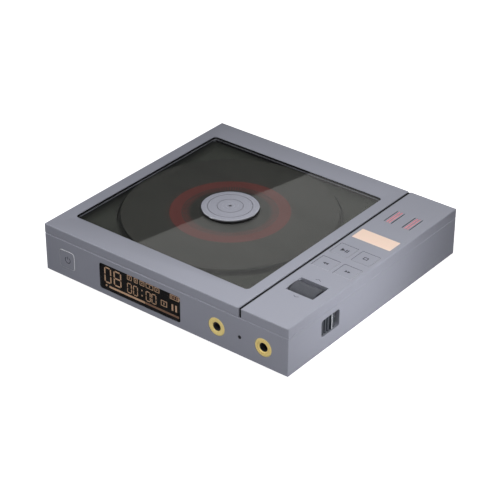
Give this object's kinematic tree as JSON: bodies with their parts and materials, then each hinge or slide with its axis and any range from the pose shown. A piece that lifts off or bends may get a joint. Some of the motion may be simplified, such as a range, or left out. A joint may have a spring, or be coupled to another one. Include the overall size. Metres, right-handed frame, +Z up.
{
  "type": "disc player",
  "caption": "Slim flat disc player with a hinged glass lid, magnetic clamp, front display, two headphone jacks and a control strip with keys and roller.",
  "frame": {"origin": "middle of the footprint, at the bottom of the feet", "axes": "+X to the right along the front face, +Y to the back, +Z up"},
  "size_m": [0.165, 0.1516, 0.0304],
  "materials": {
    "case_metal": "fine bead-blasted anodised blue-grey, satin",
    "lid_metal": "fine bead-blasted anodised blue-grey, satin",
    "key_metal": "fine bead-blasted anodised blue-grey, satin",
    "cap_metal": "turned, satin top with a polished rim",
    "cover_metal": "dark anodised, satin",
    "roller_metal": "knurled, anodised grey, satin",
    "slider_plastic": "moulded, ribbed, matte",
    "badge_metal": "brushed rose gold anodised",
    "gold_ring": "gold plated, polished",
    "steel": "plated steel",
    "magnet": "nickel plated",
    "dark_plastic": "moulded black, fine texture",
    "deck_plastic": "moulded, fine texture, greenish grey",
    "clear_plastic": "clear light pipe",
    "rubber": "soft black, matte",
    "felt": "pressed black felt",
    "black_tape": "black adhesive tape",
    "disc_dark": "pressed disc with a dark printed face and a red ring",
    "circuit_board": "green solder mask",
    "battery_wrap": "silver foil pouch",
    "flat_cable": "flat flexible cable",
    "smoked_glass": "smoked, polished",
    "display_glass": "black display window, polished",
    "lens_glass": "coated lens",
    "valve_glass": "clear glass",
    "glow_metal": "nickel stack with a warm glow"
  },
  "bodies": {
    "case": {"case_frame": "case_metal", "bottom_cover": "cover_metal", "feet": "rubber", "case_screws": "steel", "control_panel": "lid_metal", "badge_plate": "badge_metal", "valve_envelopes": "valve_glass", "valve_electrodes": "glow_metal", "valve_rests": "rubber", "display_window": "display_glass", "display_module": "dark_plastic", "small_jack": "dark_plastic", "small_jack_ring": "gold_ring", "large_jack": "dark_plastic", "large_jack_ring": "gold_ring", "light_pipe": "clear_plastic", "main_board": "circuit_board", "shield_can": "steel", "usb_port": "steel", "battery": "battery_wrap", "key_board": "circuit_board", "key_switches": "dark_plastic", "volume_encoder": "dark_plastic", "hold_switch_base": "dark_plastic", "power_switch": "dark_plastic", "ribbon_cable": "flat_cable", "deck": "deck_plastic", "well_felt": "felt", "drive_plate": "steel", "drive_dampers": "rubber", "spindle_motor": "steel", "sled_motor": "steel", "guide_rods": "steel", "case_magnets": "magnet", "hinge_case_leaves": "steel", "hinge_pins": "steel"},
    "lid": {"lid_frame": "lid_metal", "lid_window": "smoked_glass", "window_tape": "black_tape", "lid_magnets": "magnet", "hinge_lid_leaves": "steel", "lid_screws": "steel"},
    "clamp": {"clamp_cap": "cap_metal", "clamp_hub": "dark_plastic", "clamp_magnet": "magnet", "clamp_pad": "rubber"},
    "turntable": {"turntable_hub": "dark_plastic", "turntable_plate": "steel", "turntable_mat": "rubber", "disc": "disc_dark"},
    "leadscrew": {"leadscrew": "steel"},
    "sled": {"pickup_sled": "dark_plastic"},
    "lens": {"pickup_lens": "lens_glass"},
    "power_button": {"power_button": "key_metal"},
    "key_play": {"key_play": "key_metal"},
    "key_stop": {"key_stop": "key_metal"},
    "key_previous": {"key_previous": "key_metal"},
    "key_next": {"key_next": "key_metal"},
    "roller": {"volume_roller": "roller_metal"},
    "hold_slider": {"hold_slider": "slider_plastic"}
  },
  "joints": [
    {"name": "lid_hinge", "type": "hinge", "parent": "case", "child": "lid", "pos_m": [-0.01515, 0.07375, 0.0237], "axis": [-1, 0, 0], "range_deg": [0, 75]},
    {"name": "turntable_spin", "type": "hinge", "parent": "case", "child": "turntable", "pos_m": [-0.01515, 0, 0.0247], "axis": [0, 0, 1], "continuous": true},
    {"name": "clamp_spin", "type": "hinge", "parent": "lid", "child": "clamp", "pos_m": [-0.01515, 0, 0.0295], "axis": [0, 0, 1], "continuous": true},
    {"name": "leadscrew_spin", "type": "hinge", "parent": "case", "child": "leadscrew", "pos_m": [0.00185, 0.014, 0.0101], "axis": [0, 1, 0], "range_deg": [0, 4080.2]},
    {"name": "sled_slide", "type": "slide", "parent": "case", "child": "sled", "axis": [0, 1, 0], "range_m": [0, 0.034]},
    {"name": "lens_focus", "type": "slide", "parent": "sled", "child": "lens", "axis": [0, 0, 1], "range_m": [-0.0005, 0.0005], "stiffness_N_per_m": 60},
    {"name": "power_press", "type": "slide", "parent": "case", "child": "power_button", "axis": [0, 1, 0], "range_m": [0, 0.0006], "stiffness_N_per_m": 500, "springref_m": -0.0003},
    {"name": "key_play_press", "type": "slide", "parent": "case", "child": "key_play", "axis": [0, 0, -1], "range_m": [0, 0.0006], "stiffness_N_per_m": 500, "springref_m": -0.0003},
    {"name": "key_stop_press", "type": "slide", "parent": "case", "child": "key_stop", "axis": [0, 0, -1], "range_m": [0, 0.0006], "stiffness_N_per_m": 500, "springref_m": -0.0003},
    {"name": "key_previous_press", "type": "slide", "parent": "case", "child": "key_previous", "axis": [0, 0, -1], "range_m": [0, 0.0006], "stiffness_N_per_m": 500, "springref_m": -0.0003},
    {"name": "key_next_press", "type": "slide", "parent": "case", "child": "key_next", "axis": [0, 0, -1], "range_m": [0, 0.0006], "stiffness_N_per_m": 500, "springref_m": -0.0003},
    {"name": "roller_spin", "type": "hinge", "parent": "case", "child": "roller", "pos_m": [0.06705, -0.04, 0.0237], "axis": [1, 0, 0], "continuous": true},
    {"name": "hold_slide", "type": "slide", "parent": "case", "child": "hold_slider", "axis": [0, 1, 0], "range_m": [0, 0.0019]}
  ],
  "couplings": [
    {"joint": "clamp_spin", "follows": "turntable_spin", "ratio": 1},
    {"joint": "leadscrew_spin", "follows": "sled_slide", "rad_per_m": 2094.4}
  ]
}
